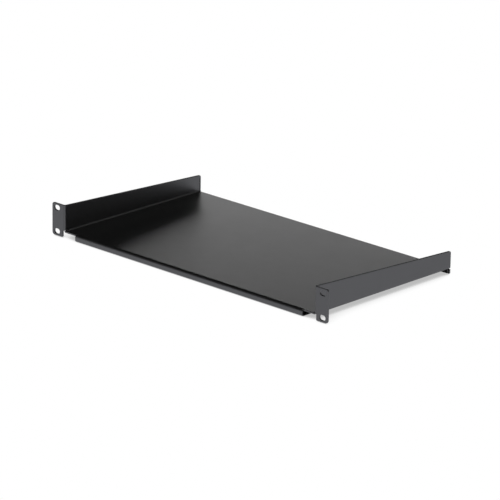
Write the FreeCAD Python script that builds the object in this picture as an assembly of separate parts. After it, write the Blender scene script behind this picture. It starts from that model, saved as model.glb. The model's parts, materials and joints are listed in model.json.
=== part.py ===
"""One-unit cantilever rack shelf, folded from a single steel sheet.

Frame: +X to the right, +Y from the front towards the rear, +Z up, in millimetres.
The origin is the centre of the four rack slots, on the rear face of the mounting ears,
which is the face that lies against the rack's rails.
"""
import FreeCAD, Part
import math
import os

# The sheet and its bends
sheet = 2.0
bend_inner_r = 0.6
ear_bend_inner_r = 1.0
lip_bend_inner_r = 1.6
return_bend_inner_r = 0.3
relief_gap = 0.8
rear_relief_gap = 0.4
rear_relief_r = 1.1

# The rack interface: EIA 19 inch, one unit high, so slot centres are 465.12 mm apart
ear_span = 482.6
ear_width = 20.6
ear_height = 43.6
slot_edge_distance = 8.74
slot_pitch_z = 31.75
slot_length = 10.0
slot_width = 7.0
ear_top_corner_r = 3.0
ear_foot_corner_r = 4.0
ear_foot_inner_r = 1.5
ear_foot_clearance = 0.6

# The tray
depth = 251.0
deck_height = 8.4
wall_rear_height = 30.3
wall_rear_corner_r = 3.0

# The front lip, which stands a little below the ears and is turned back under the deck
lip_inset = 21.6
lip_drop = 0.8
return_depth = 18.0
return_corner_r = 2.0
notch_setback = 1.3

# The rear flange, which ends level with the ears
flange_corner_r = 1.5
flange_end_gap = 0.3

# Planes and tangent lines that follow from the sizes above
bend_outer_r = bend_inner_r + sheet
ear_bend_outer_r = ear_bend_inner_r + sheet
lip_bend_outer_r = lip_bend_inner_r + sheet
half_ears = ear_span / 2
half_body = half_ears - ear_width
half_lip = half_body - lip_inset
slot_x = half_ears - slot_edge_distance
front = -sheet
rear = front + depth
foot = -ear_height / 2
top = ear_height / 2
deck_top = foot + deck_height
deck_under = deck_top - sheet
wall_bend_x = half_body - bend_outer_r
wall_bend_top = deck_under + bend_outer_r
ear_bend_y = front + ear_bend_outer_r
ear_foot_x = half_body + ear_bend_inner_r + ear_foot_clearance
lip_bend_y = front + lip_bend_outer_r
lip_foot = foot - lip_drop
return_rear = front + return_depth
rear_bend_y = rear - bend_outer_r
flange_bend_foot = deck_top - bend_outer_r
flange_end_top = deck_under - flange_end_gap
wall_rear_top = foot + wall_rear_height

# How far a cutting or trimming block reaches past the sheet
past = 20.0


def vector_in(plane, u, v, offset=0.0):
    """Place a 2-D point of one of the three main planes in space."""
    if plane == "XY":
        return FreeCAD.Vector(u, v, offset)
    if plane == "XZ":
        return FreeCAD.Vector(u, offset, v)
    return FreeCAD.Vector(offset, u, v)


def rounded_face(plane, corners, offset=0.0):
    """Make a face from corners (u, v, radius), each rounded to its own radius."""
    starts = []
    ends = []
    arcs = []
    for i, (u, v, radius) in enumerate(corners):
        corner = FreeCAD.Vector(u, v, 0)
        before = FreeCAD.Vector(corners[i - 1][0], corners[i - 1][1], 0) - corner
        following = corners[(i + 1) % len(corners)]
        after = FreeCAD.Vector(following[0], following[1], 0) - corner
        before.normalize()
        after.normalize()
        if radius == 0:
            starts.append(corner)
            ends.append(corner)
            arcs.append(None)
            continue
        half_angle = before.getAngle(after) / 2
        reach = radius / math.tan(half_angle)
        bisector = before + after
        bisector.normalize()
        middle = corner + bisector * (radius / math.sin(half_angle) - radius)
        starts.append(corner + before * reach)
        ends.append(corner + after * reach)
        arcs.append(middle)
    edges = []
    for i, middle in enumerate(arcs):
        start = vector_in(plane, starts[i].x, starts[i].y, offset)
        end = vector_in(plane, ends[i].x, ends[i].y, offset)
        if middle is not None:
            through = vector_in(plane, middle.x, middle.y, offset)
            edges.append(Part.Arc(start, through, end).toShape())
        following = starts[(i + 1) % len(starts)]
        following = vector_in(plane, following.x, following.y, offset)
        if end.distanceToPoint(following) > 1e-6:
            edges.append(Part.LineSegment(end, following).toShape())
    return Part.Face(Part.Wire(edges))


def folded_face(plane, mould_line, inner_radii, offset=0.0):
    """Make the section of a folded sheet.

    The mould line runs along one face of the sheet with sharp corners, and the sheet
    lies to the left of it. Each bend has its inner radius on the side that it turns to.
    """
    points = [FreeCAD.Vector(u, v, 0) for u, v in mould_line]
    normals = []
    for start, end in zip(points, points[1:]):
        along = end - start
        along.normalize()
        normals.append(FreeCAD.Vector(-along.y, along.x, 0))
    other_side = [points[0] + normals[0] * sheet]
    for i in range(1, len(points) - 1):
        between = normals[i - 1] + normals[i]
        stretch = sheet / (1 + normals[i - 1].dot(normals[i]))
        other_side.append(points[i] + between * stretch)
    other_side.append(points[-1] + normals[-1] * sheet)

    near_radii = [0.0]
    far_radii = [0.0]
    for i, inner in enumerate(inner_radii):
        turns_left = normals[i].cross(normals[i + 1]).z > 0
        near_radii.append(inner + sheet if turns_left else inner)
        far_radii.append(inner if turns_left else inner + sheet)
    near_radii.append(0.0)
    far_radii.append(0.0)

    corners = [(p.x, p.y, r) for p, r in zip(points, near_radii)]
    corners += [(p.x, p.y, r) for p, r in reversed(list(zip(other_side, far_radii)))]
    return rounded_face(plane, corners, offset)


def block(x0, x1, y0, y1, z0, z1):
    """A plain box between two corners, used for cuts."""
    return Part.makeBox(x1 - x0, y1 - y0, z1 - z0, FreeCAD.Vector(x0, y0, z0))


def both_sides(shape):
    """The shape together with its mirror image in the plane X = 0."""
    return [shape, shape.mirror(FreeCAD.Vector(0, 0, 0), FreeCAD.Vector(1, 0, 0))]


def make_tray():
    """Deck and side walls: a U section whose walls taper down towards the rear."""
    u_line = [(-half_body, top), (-half_body, deck_under), (half_body, deck_under), (half_body, top)]
    section = folded_face("XZ", u_line, [bend_inner_r, bend_inner_r], front)
    tray = section.extrude(FreeCAD.Vector(0, depth, 0))
    side_outline = rounded_face("YZ", [
        (front, deck_under - past, 0),
        (rear, deck_under - past, 0),
        (rear, wall_rear_top, wall_rear_corner_r),
        (front, top, 0),
    ], -half_body - past)
    tray = tray.common(side_outline.extrude(FreeCAD.Vector(2 * (half_body + past), 0, 0)))

    # The walls stop where their ears begin to bend, and the deck stops in the front notches
    wall_front = block(wall_bend_x, half_body + past, front - past, ear_bend_y, wall_bend_top, top + past)
    notch_front = block(half_lip, half_body + past, front - past, front + notch_setback,
                        deck_under - past, wall_bend_top)
    between_lip_bends = block(-half_lip, half_lip, front - past, lip_bend_y,
                              deck_under - past, deck_top + past)
    between_flange_bends = block(-wall_bend_x, wall_bend_x, rear_bend_y, rear + past,
                                 deck_under - past, deck_top + past)
    return tray.cut(both_sides(wall_front) + both_sides(notch_front)
                    + [between_lip_bends, between_flange_bends])


def make_ear():
    """Right-hand ear: the wall's front edge bent outwards, with its two rack slots."""
    fold_line = [(half_body - sheet, ear_bend_y), (half_body - sheet, front), (half_ears, front)]
    section = folded_face("XY", fold_line, [ear_bend_inner_r], foot)
    ear = section.extrude(FreeCAD.Vector(0, 0, ear_height))
    outline = rounded_face("XZ", [
        (half_body - sheet, top, 0),
        (half_body - sheet, wall_bend_top, 0),
        (ear_foot_x, wall_bend_top, 0),
        (ear_foot_x, foot, ear_foot_inner_r),
        (half_ears, foot, ear_foot_corner_r),
        (half_ears, top, ear_top_corner_r),
    ], front - past)
    ear = ear.common(outline.extrude(FreeCAD.Vector(0, 2 * past, 0)))
    slots = [make_slot(sign * slot_pitch_z / 2) for sign in (-1, 1)]
    return ear.cut(slots)


def make_slot(z):
    """One obround rack slot of the right-hand ear, as the solid to be cut away."""
    half_length = slot_length / 2
    half_width = slot_width / 2
    outline = rounded_face("XZ", [
        (slot_x - half_length, z - half_width, half_width),
        (slot_x + half_length, z - half_width, half_width),
        (slot_x + half_length, z + half_width, half_width),
        (slot_x - half_length, z + half_width, half_width),
    ], front - past)
    return outline.extrude(FreeCAD.Vector(0, 2 * past, 0))


def make_lip():
    """Front lip: the deck's front edge turned down, then turned back under the deck."""
    fold_line = [(lip_bend_y, deck_top), (front, deck_top), (front, lip_foot), (return_rear, lip_foot)]
    section = folded_face("YZ", fold_line, [lip_bend_inner_r, return_bend_inner_r], -half_lip)
    lip = section.extrude(FreeCAD.Vector(2 * half_lip, 0, 0))
    outline = rounded_face("XY", [
        (-half_lip, front, 0),
        (half_lip, front, 0),
        (half_lip, return_rear, return_corner_r),
        (-half_lip, return_rear, return_corner_r),
    ], lip_foot - past)
    return lip.common(outline.extrude(FreeCAD.Vector(0, 0, deck_top - lip_foot + 2 * past)))


def make_rear_flange():
    """Rear flange: turned down across the deck, and as wide as the tray below the bend."""
    fold_line = [(rear, foot), (rear, deck_top), (rear_bend_y, deck_top)]
    section = folded_face("YZ", fold_line, [bend_inner_r], -half_body)
    flange = section.extrude(FreeCAD.Vector(2 * half_body, 0, 0))
    outline = rounded_face("XZ", [
        (-half_body, foot, flange_corner_r),
        (half_body, foot, flange_corner_r),
        (half_body, flange_end_top, 0),
        (wall_bend_x, flange_end_top, 0),
        (wall_bend_x, deck_top, 0),
        (-wall_bend_x, deck_top, 0),
        (-wall_bend_x, flange_end_top, 0),
        (-half_body, flange_end_top, 0),
    ], rear_bend_y - past)
    return flange.common(outline.extrude(FreeCAD.Vector(0, 2 * past, 0)))


def relief_cuts():
    """Laser-cut reliefs of the right-hand side, which let each bend end freely."""
    beside_lip = block(half_lip, half_lip + relief_gap, front - past, lip_bend_y + relief_gap,
                       deck_under - past, deck_top + past)
    under_ear = block(wall_bend_x, half_body, front - past, ear_bend_y + relief_gap,
                      wall_bend_top - relief_gap, wall_bend_top)
    beside_flange = block(wall_bend_x - rear_relief_gap / 2, wall_bend_x + rear_relief_gap / 2,
                          rear_bend_y, rear + past, flange_bend_foot, deck_top + past)
    hole_base = FreeCAD.Vector(wall_bend_x, rear_bend_y, deck_under - past)
    rear_hole = Part.makeCylinder(rear_relief_r, 2 * past, hole_base)
    return [beside_lip, under_ear, beside_flange, rear_hole]


def make_shelf():
    """Join the folded stretches of the one sheet and cut its reliefs."""
    shelf = make_tray().fuse([make_lip(), make_rear_flange()] + both_sides(make_ear()))
    reliefs = []
    for cut in relief_cuts():
        reliefs += both_sides(cut)
    return shelf.cut(reliefs).removeSplitter()


os.makedirs("parts", exist_ok=True)
shelf = make_shelf()
shelf.exportStep("parts/cantilever_shelf.step")
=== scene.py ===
"""Looks of the cantilever rack shelf: its black powder coat, a white studio floor and the camera."""

import json
import math

import bpy
from mathutils import Matrix, Vector

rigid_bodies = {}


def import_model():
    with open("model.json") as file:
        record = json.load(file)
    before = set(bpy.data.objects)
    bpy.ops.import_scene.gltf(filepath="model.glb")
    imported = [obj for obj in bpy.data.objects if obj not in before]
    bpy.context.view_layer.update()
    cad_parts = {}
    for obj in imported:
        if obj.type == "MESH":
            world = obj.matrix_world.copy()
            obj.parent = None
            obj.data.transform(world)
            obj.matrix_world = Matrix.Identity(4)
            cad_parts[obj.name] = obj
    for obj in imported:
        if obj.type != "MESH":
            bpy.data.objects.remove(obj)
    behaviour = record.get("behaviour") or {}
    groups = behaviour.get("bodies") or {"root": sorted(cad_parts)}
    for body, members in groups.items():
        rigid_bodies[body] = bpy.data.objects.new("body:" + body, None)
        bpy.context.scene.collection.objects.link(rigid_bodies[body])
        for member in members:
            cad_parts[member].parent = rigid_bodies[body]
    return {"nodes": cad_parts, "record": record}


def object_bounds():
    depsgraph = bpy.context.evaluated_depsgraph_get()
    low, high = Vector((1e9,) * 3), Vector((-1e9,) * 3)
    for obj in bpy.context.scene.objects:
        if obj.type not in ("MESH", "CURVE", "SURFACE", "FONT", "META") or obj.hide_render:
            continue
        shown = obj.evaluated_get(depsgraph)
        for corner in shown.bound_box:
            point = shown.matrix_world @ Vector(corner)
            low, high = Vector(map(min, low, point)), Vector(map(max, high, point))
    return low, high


MM = 0.001

# Camera: it looks at the middle of the part from the front right and from above
CAMERA_YAW = math.radians(43.327)
CAMERA_PITCH = math.radians(18.533)
CAMERA_ROLL = math.radians(0.923)
CAMERA_DISTANCE = 4.9413
CAMERA_RIGHT = -0.00624
CAMERA_DOWN = 0.01345
CAMERA_LENS_MM = 279.58

# Powder coat: nearly black, with a slow mottle in its colour and gloss and a fine grain
COAT_IOR = 1.86
COAT_ROUGHNESS = 0.42
COAT_DARK = (0.0016, 0.0017, 0.0019, 1.0)
COAT_LIGHT = (0.0020, 0.0021, 0.0024, 1.0)
MOTTLE_SCALE = 45.0
MOTTLE_RANGE = (0.3, 0.7)
MOTTLE_ROUGHNESS = 0.01
GRAIN_SCALE = 1400.0
GRAIN_STRENGTH = 0.12
GRAIN_DEPTH = 0.02 * MM

# Shading only: the radius that edges look rounded to, the larger one of the inner corners and
# how far around a corner it is used, and how much less the upward cut edges reflect. The
# corners look rounder than the sheet's real bends, so that their bright line is as bright as
# in the photograph.
EDGE_RADIUS = 1.2 * MM
BEND_RADIUS = 4.0 * MM
BEND_REACH = 2.5 * MM
# Painted shade: the upward cut edges reflect less, standing in for the shade of their rounding
CUT_EDGE_PAINTED_SHADE = 0.49

# Light that the coat reflects: low bright panels, mainly the one behind on the left, one
# high panel and a dim ceiling. Each low panel has its bearing, the angle that it spans and
# its radiance. The back and high panels, the ceiling and the coat are fitted to the
# photograph's levels, and the other panels light the other sides.
LOW_PANELS = {
    "back_panel": (math.radians(-50.0), math.radians(64.0), 3.2),
    "left_panel": (math.radians(-104.0), math.radians(44.0), 1.6),
    "front_panel": (math.radians(138.0), math.radians(84.0), 2.0),
    "right_panel": (math.radians(86.0), math.radians(20.0), 0.6),
}
LOW_PANEL_RISE = math.radians(12.9)
LOW_PANEL_DISTANCE = 1.55
HIGH_PANEL_BEARING = math.radians(22.0)
HIGH_PANEL_ELEVATION = math.radians(43.0)
HIGH_PANEL_DISTANCE = 1.5
HIGH_PANEL_SIDE = 0.8
HIGH_PANEL_RADIANCE = 0.9
CEILING_HEIGHT = 2.0
CEILING_SIDE = 5.0
CEILING_RADIANCE = 0.03
ROOM_RADIANCE = 0.005

# Floor: how far the shelf shades it, the range of openness over which the shade fades, and
# how bright it stays to the eye where it is shaded most. The shade is drawn from the floor's
# openness and not cast by the panels.
FLOOR_HALF = 30.0
FLOOR_GAP = 0.1 * MM
FLOOR_ALBEDO = (0.9, 0.9, 0.9, 1.0)
FLOOR_TINT_IN_COAT = (0.99, 1.0, 1.06, 1.0)
SHADE_DISTANCE = 0.12
SHADE_OPENNESS = (0.2, 0.6)
FLOOR_SHADE_LEVEL = 0.5


def clear_scene():
    """Remove whatever the start-up file holds."""
    for item in list(bpy.data.objects):
        bpy.data.objects.remove(item)


def new_nodes(owner):
    """Give a material or world an empty node tree, and return its nodes and links."""
    owner.use_nodes = True
    tree = owner.node_tree
    tree.nodes.clear()
    return tree.nodes, tree.links


def add_math(nodes, links, operation, first, second):
    """A math node whose inputs are numbers or sockets; returns its output."""
    node = nodes.new("ShaderNodeMath")
    node.operation = operation
    for socket, value in zip(node.inputs, (first, second)):
        if isinstance(value, (int, float)):
            socket.default_value = value
        else:
            links.new(value, socket)
    return node.outputs[0]


def add_noise(nodes, links, place, scale, detail):
    """A noise texture at a place; returns its value."""
    noise = nodes.new("ShaderNodeTexNoise")
    noise.inputs["Scale"].default_value = scale
    noise.inputs["Detail"].default_value = detail
    links.new(place, noise.inputs["Vector"])
    return noise.outputs["Fac"]


def add_map_range(nodes, links, value, source, target):
    """Map a value from one range to another and clamp it; returns the node."""
    node = nodes.new("ShaderNodeMapRange")
    node.inputs["From Min"].default_value = source[0]
    node.inputs["From Max"].default_value = source[1]
    node.inputs["To Min"].default_value = target[0]
    node.inputs["To Max"].default_value = target[1]
    links.new(value, node.inputs["Value"])
    return node


def make_cut_edge_mask(nodes, links, place):
    """1 on the upward cut edges of the walls, ears and slots, and 0 elsewhere."""
    normal = nodes.new("ShaderNodeSeparateXYZ")
    links.new(nodes.new("ShaderNodeNewGeometry").outputs["True Normal"], normal.inputs["Vector"])
    point = nodes.new("ShaderNodeSeparateXYZ")
    links.new(place, point.inputs["Vector"])
    upwards = add_math(nodes, links, "GREATER_THAN", normal.outputs["Z"], 0.9)
    above_deck = add_math(nodes, links, "GREATER_THAN", point.outputs["Z"], 0.0)
    return add_math(nodes, links, "MULTIPLY", upwards, above_deck)


def make_bend_mask(nodes, links, place, corner):
    """1 close to the inner corners between deck and walls, and 0 elsewhere.

    The corners run along Y and mirror each other in X, so X is taken without its sign.
    """
    point = nodes.new("ShaderNodeSeparateXYZ")
    links.new(place, point.inputs["Vector"])
    across = nodes.new("ShaderNodeCombineXYZ")
    links.new(add_math(nodes, links, "ABSOLUTE", point.outputs["X"], 0.0), across.inputs["X"])
    links.new(point.outputs["Z"], across.inputs["Z"])
    away = nodes.new("ShaderNodeVectorMath")
    away.operation = "DISTANCE"
    links.new(across.outputs["Vector"], away.inputs[0])
    away.inputs[1].default_value = (abs(corner.x), 0.0, corner.z)
    return add_math(nodes, links, "LESS_THAN", away.outputs["Value"], BEND_REACH)


def make_powder_coat(corner):
    """Satin black powder coat; corner is where the deck meets a wall, on the inside."""
    material = bpy.data.materials.new("powder_coat_black")
    nodes, links = new_nodes(material)
    output = nodes.new("ShaderNodeOutputMaterial")
    coat = nodes.new("ShaderNodeBsdfPrincipled")
    coat.inputs["IOR"].default_value = COAT_IOR
    links.new(coat.outputs["BSDF"], output.inputs["Surface"])
    place = nodes.new("ShaderNodeTexCoord").outputs["Object"]

    mottle = add_noise(nodes, links, place, MOTTLE_SCALE, 3.0)
    colour = nodes.new("ShaderNodeValToRGB")
    for stop, position, value in zip(colour.color_ramp.elements, MOTTLE_RANGE, (COAT_DARK, COAT_LIGHT)):
        stop.position = position
        stop.color = value
    links.new(mottle, colour.inputs["Fac"])
    links.new(colour.outputs["Color"], coat.inputs["Base Color"])
    gloss = add_map_range(nodes, links, mottle, MOTTLE_RANGE,
                          (COAT_ROUGHNESS - MOTTLE_ROUGHNESS, COAT_ROUGHNESS + MOTTLE_ROUGHNESS))
    links.new(gloss.outputs["Result"], coat.inputs["Roughness"])

    # The upward cut edges look darker than the rest in the photograph
    # Painted shade: these edges reflect less, which stands in for the shade of their rounding
    cut_edge = make_cut_edge_mask(nodes, links, place)
    painted_edge_shade = add_math(nodes, links, "MULTIPLY", cut_edge, -CUT_EDGE_PAINTED_SHADE)
    links.new(add_math(nodes, links, "ADD", painted_edge_shade, 0.5), coat.inputs["Specular IOR Level"])

    # The inner corners between deck and walls are shaded with a larger radius than the edges
    in_bend = make_bend_mask(nodes, links, place, corner)
    extra_radius = add_math(nodes, links, "MULTIPLY", in_bend, BEND_RADIUS - EDGE_RADIUS)
    edge = nodes.new("ShaderNodeBevel")
    edge.samples = 12
    links.new(add_math(nodes, links, "ADD", extra_radius, EDGE_RADIUS), edge.inputs["Radius"])

    grain = nodes.new("ShaderNodeBump")
    grain.inputs["Strength"].default_value = GRAIN_STRENGTH
    grain.inputs["Distance"].default_value = GRAIN_DEPTH
    links.new(add_noise(nodes, links, place, GRAIN_SCALE, 2.0), grain.inputs["Height"])
    links.new(edge.outputs["Normal"], grain.inputs["Normal"])
    links.new(grain.outputs["Normal"], coat.inputs["Normal"])
    return material


def make_floor_material():
    """White floor: white to the eye and in reflections, darker where the shelf shades it."""
    material = bpy.data.materials.new("studio_floor")
    nodes, links = new_nodes(material)
    output = nodes.new("ShaderNodeOutputMaterial")
    path = nodes.new("ShaderNodeLightPath").outputs
    seen = add_math(nodes, links, "MAXIMUM", path["Is Camera Ray"], path["Is Glossy Ray"])
    seen = add_math(nodes, links, "MAXIMUM", seen, path["Is Transmission Ray"])

    # The shade fades to black in the coat, and to a light grey to the eye
    shade = nodes.new("ShaderNodeAmbientOcclusion")
    shade.samples = 16
    shade.inputs["Distance"].default_value = SHADE_DISTANCE
    level = add_map_range(nodes, links, shade.outputs["AO"], SHADE_OPENNESS, (0.0, 1.0))
    lift = add_math(nodes, links, "MULTIPLY", path["Is Camera Ray"], FLOOR_SHADE_LEVEL)
    links.new(lift, level.inputs["To Min"])

    # White to the eye, and very slightly blue in the coat
    colour = nodes.new("ShaderNodeMixRGB")
    colour.inputs["Color1"].default_value = FLOOR_TINT_IN_COAT
    colour.inputs["Color2"].default_value = (1.0, 1.0, 1.0, 1.0)
    links.new(path["Is Camera Ray"], colour.inputs["Fac"])
    white = nodes.new("ShaderNodeEmission")
    links.new(colour.outputs["Color"], white.inputs["Color"])
    links.new(level.outputs["Result"], white.inputs["Strength"])

    matt = nodes.new("ShaderNodeBsdfDiffuse")
    matt.inputs["Color"].default_value = FLOOR_ALBEDO
    mix = nodes.new("ShaderNodeMixShader")
    links.new(seen, mix.inputs["Fac"])
    links.new(matt.outputs["BSDF"], mix.inputs[1])
    links.new(white.outputs["Emission"], mix.inputs[2])
    links.new(mix.outputs["Shader"], output.inputs["Surface"])
    return material


def make_floor(height):
    """A wide floor under the part."""
    mesh = bpy.data.meshes.new("floor")
    corners = [(-FLOOR_HALF, -FLOOR_HALF, height), (FLOOR_HALF, -FLOOR_HALF, height),
               (FLOOR_HALF, FLOOR_HALF, height), (-FLOOR_HALF, FLOOR_HALF, height)]
    mesh.from_pydata(corners, [], [(0, 1, 2, 3)])
    mesh.materials.append(make_floor_material())
    floor = bpy.data.objects.new("floor", mesh)
    bpy.context.scene.collection.objects.link(floor)


def make_world():
    """Even white light all round; in reflections the studio is dark above the floor."""
    world = bpy.data.worlds.new("studio")
    bpy.context.scene.world = world
    nodes, links = new_nodes(world)
    output = nodes.new("ShaderNodeOutputWorld")
    path = nodes.new("ShaderNodeLightPath").outputs
    room = nodes.new("ShaderNodeBackground")
    room.inputs["Color"].default_value = (1.0, 1.0, 1.0, 1.0)
    room.inputs["Strength"].default_value = 1.0
    dark = nodes.new("ShaderNodeBackground")
    dark.inputs["Strength"].default_value = ROOM_RADIANCE
    mix = nodes.new("ShaderNodeMixShader")
    links.new(path["Is Glossy Ray"], mix.inputs["Fac"])
    links.new(room.outputs["Background"], mix.inputs[1])
    links.new(dark.outputs["Background"], mix.inputs[2])
    links.new(mix.outputs["Shader"], output.inputs["Surface"])


def make_panel(name, bearing, elevation, distance, width, height, radiance, target):
    """A soft panel light at a bearing and elevation from the part, turned to face it."""
    data = bpy.data.lights.new(name, "AREA")
    data.shape = "RECTANGLE"
    data.size = width
    data.size_y = height
    data.energy = radiance * math.pi * width * height
    panel = bpy.data.objects.new(name, data)
    bpy.context.scene.collection.objects.link(panel)
    towards = Vector((math.sin(bearing) * math.cos(elevation), math.cos(bearing) * math.cos(elevation),
                      math.sin(elevation)))
    panel.location = target + towards * distance
    panel.rotation_euler = towards.to_track_quat("Z", "Y").to_euler()
    panel.visible_camera = False


def make_panels(target):
    """The low panels that stand on the horizon, the high panel and the ceiling."""
    low_height = LOW_PANEL_DISTANCE * math.tan(LOW_PANEL_RISE)
    for name, (bearing, spread, radiance) in LOW_PANELS.items():
        width = 2 * LOW_PANEL_DISTANCE * math.tan(spread / 2)
        make_panel(name, bearing, LOW_PANEL_RISE / 2, LOW_PANEL_DISTANCE, width, low_height, radiance, target)
    make_panel("high_panel", HIGH_PANEL_BEARING, HIGH_PANEL_ELEVATION, HIGH_PANEL_DISTANCE,
               HIGH_PANEL_SIDE, HIGH_PANEL_SIDE, HIGH_PANEL_RADIANCE, target)
    make_panel("ceiling", 0.0, math.radians(90.0), CEILING_HEIGHT,
               CEILING_SIDE, CEILING_SIDE, CEILING_RADIANCE, target)


def make_camera(target):
    """The camera, from its yaw, pitch, roll and distance to the target."""
    forward = Vector((-math.sin(CAMERA_YAW) * math.cos(CAMERA_PITCH),
                      math.cos(CAMERA_YAW) * math.cos(CAMERA_PITCH),
                      -math.sin(CAMERA_PITCH)))
    level_right = forward.cross(Vector((0.0, 0.0, 1.0))).normalized()
    level_up = level_right.cross(forward)
    right = math.cos(CAMERA_ROLL) * level_right + math.sin(CAMERA_ROLL) * level_up
    up = math.cos(CAMERA_ROLL) * level_up - math.sin(CAMERA_ROLL) * level_right
    data = bpy.data.cameras.new("camera")
    data.lens = CAMERA_LENS_MM
    data.clip_end = 200.0
    camera = bpy.data.objects.new("camera", data)
    bpy.context.scene.collection.objects.link(camera)
    place = target - forward * CAMERA_DISTANCE + right * CAMERA_RIGHT - up * CAMERA_DOWN
    turn = Matrix((right, up, -forward)).transposed()
    camera.matrix_world = Matrix.Translation(place) @ turn.to_4x4()
    bpy.context.scene.camera = camera


def find_opening(name):
    """The box of one of the part's stated openings, as its lowest and highest corners."""
    for opening in frame["record"]["physics"]["openings"]:
        if opening["name"] == name:
            return [Vector(corner) for corner in opening["box_m"]]


clear_scene()
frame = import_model()
cad_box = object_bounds()

# The space for equipment ends less than a millimetre from the deck and the walls
inner_corner = find_opening("equipment_space")[0]
powder_coat = make_powder_coat(inner_corner)
for node in frame["nodes"].values():
    for material_slot in node.material_slots:
        material_slot.material = powder_coat

low, high = cad_box
centre = (low + high) / 2
make_world()
make_floor(low.z - FLOOR_GAP)
make_panels(centre)
make_camera(centre)

bpy.context.scene.view_settings.view_transform = "Standard"
